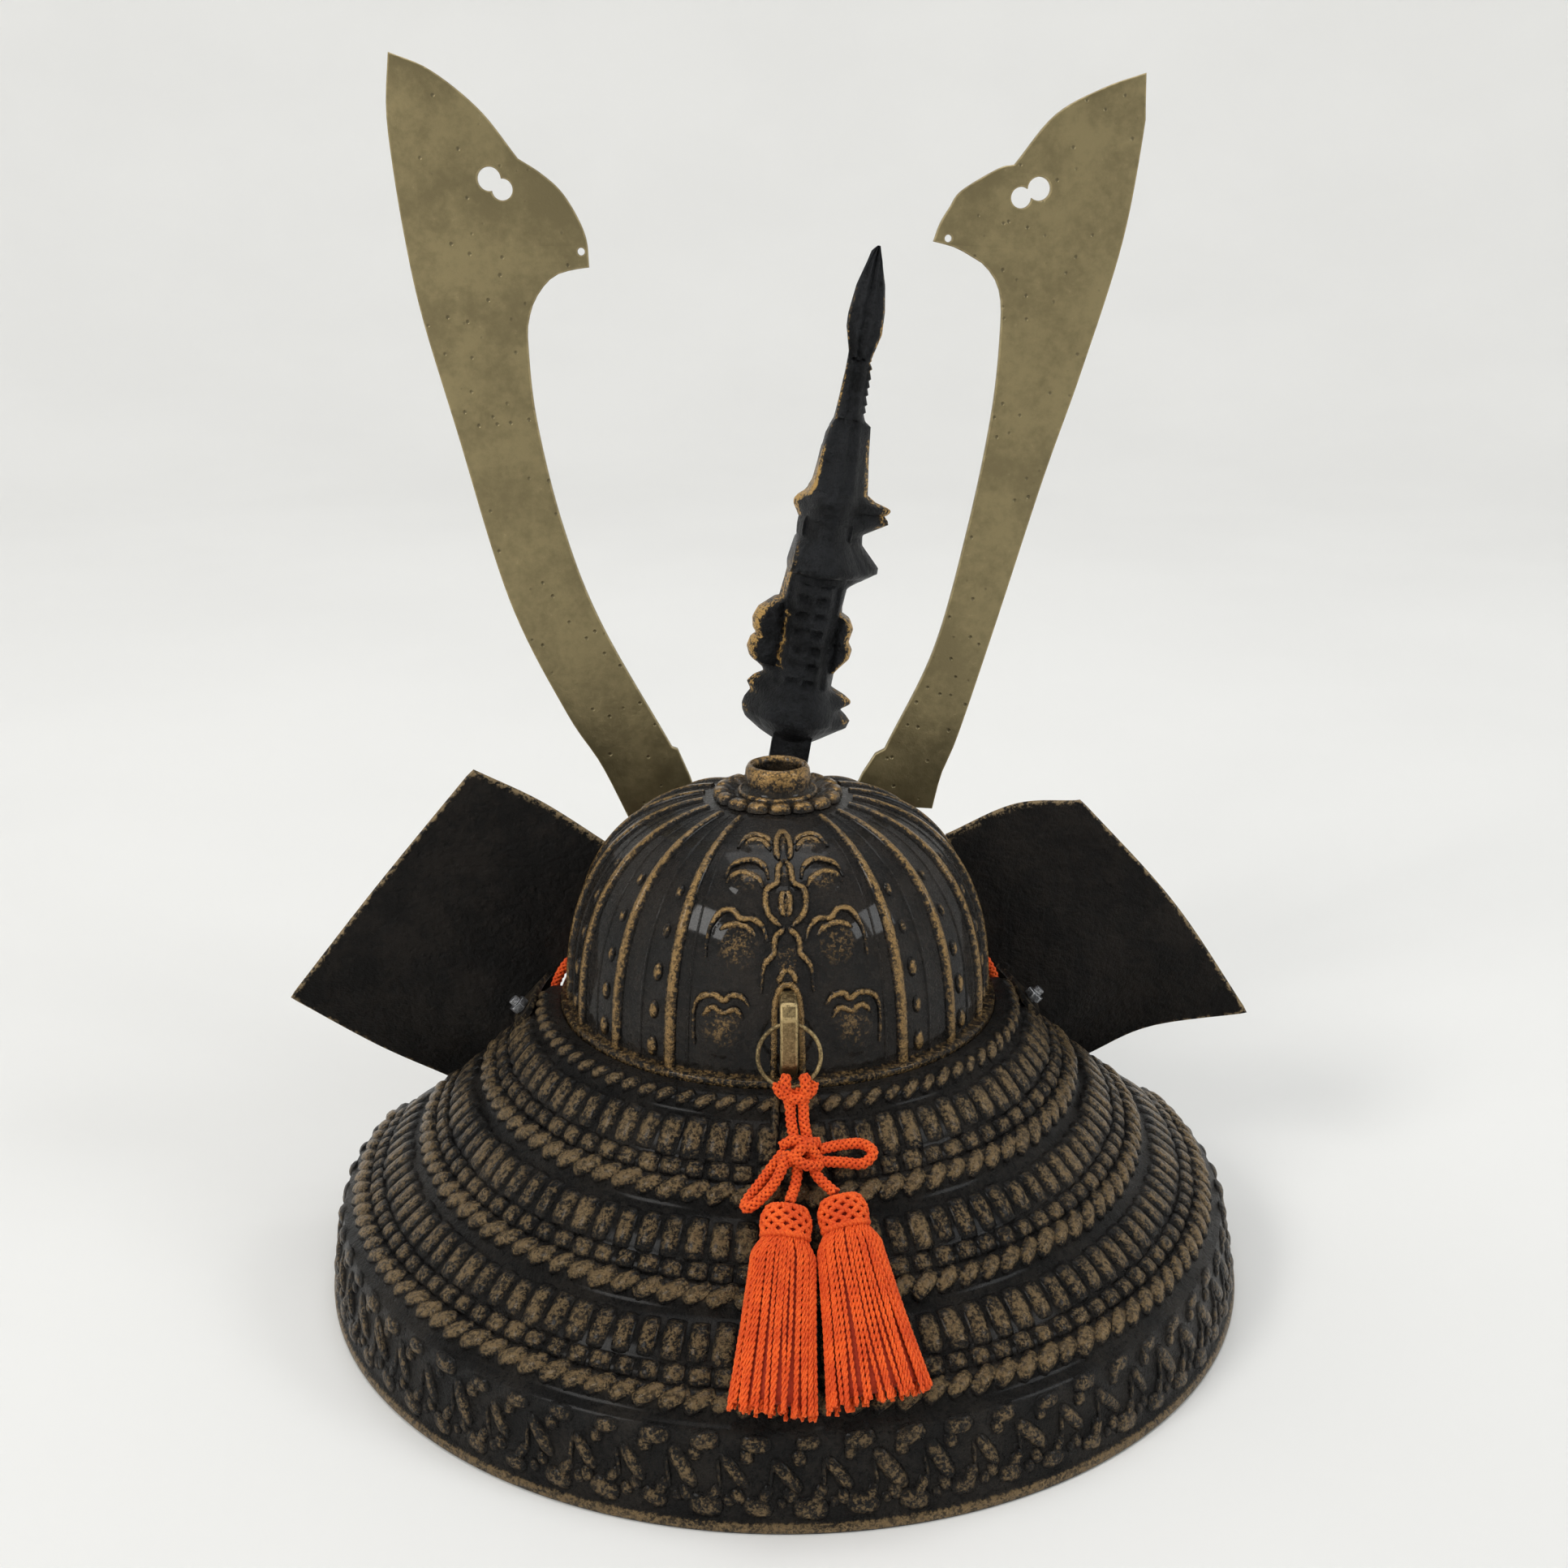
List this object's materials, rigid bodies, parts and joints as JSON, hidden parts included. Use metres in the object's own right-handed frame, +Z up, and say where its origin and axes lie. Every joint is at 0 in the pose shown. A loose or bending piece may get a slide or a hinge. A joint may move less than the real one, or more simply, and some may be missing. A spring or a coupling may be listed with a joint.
{
  "type": "kabuto helmet",
  "caption": "Cast bronze kabuto samurai helmet with ribbed bowl, flared lamellar neck guard, turned-back plates, crest horns, dragon crest and orange tasselled cord.",
  "frame": {"origin": "on the floor, under the middle of the helmet's outline", "axes": "+Z up, -Y the way the face looks, +X to the wearer's left"},
  "size_m": [0.3225, 0.266, 0.383],
  "materials": {
    "patinated_bronze": "dark brown-black patina, rubbed golden on the high spots",
    "aged_brass": "dull olive-brown aged brass",
    "blackened_bronze": "black patina with rubbed gold edges",
    "rubbed_brass": "rubbed brass",
    "dull_steel": "dull grey",
    "orange_cord": "braided and twisted thread"
  },
  "bodies": {
    "root": {"bolt_left": "dull_steel", "bolt_right": "dull_steel", "bow_loop_left": "orange_cord", "bow_loop_right": "orange_cord", "bowl": "patinated_bronze", "cord_hitch": "orange_cord", "crest_holder": "patinated_bronze", "dragon_crest": "blackened_bronze", "horn_left": "aged_brass", "horn_right": "aged_brass", "neck_guard": "patinated_bronze", "nut_left": "dull_steel", "nut_right": "dull_steel", "peak": "patinated_bronze", "rear_lug": "rubbed_brass", "rear_ring": "rubbed_brass", "side_cord": "orange_cord", "tassel_cord_left": "orange_cord", "tassel_cord_right": "orange_cord", "tassel_left": "orange_cord", "tassel_right": "orange_cord", "tehen_ring": "patinated_bronze", "turnback_left": "patinated_bronze", "turnback_right": "patinated_bronze"}
  },
  "joints": []
}
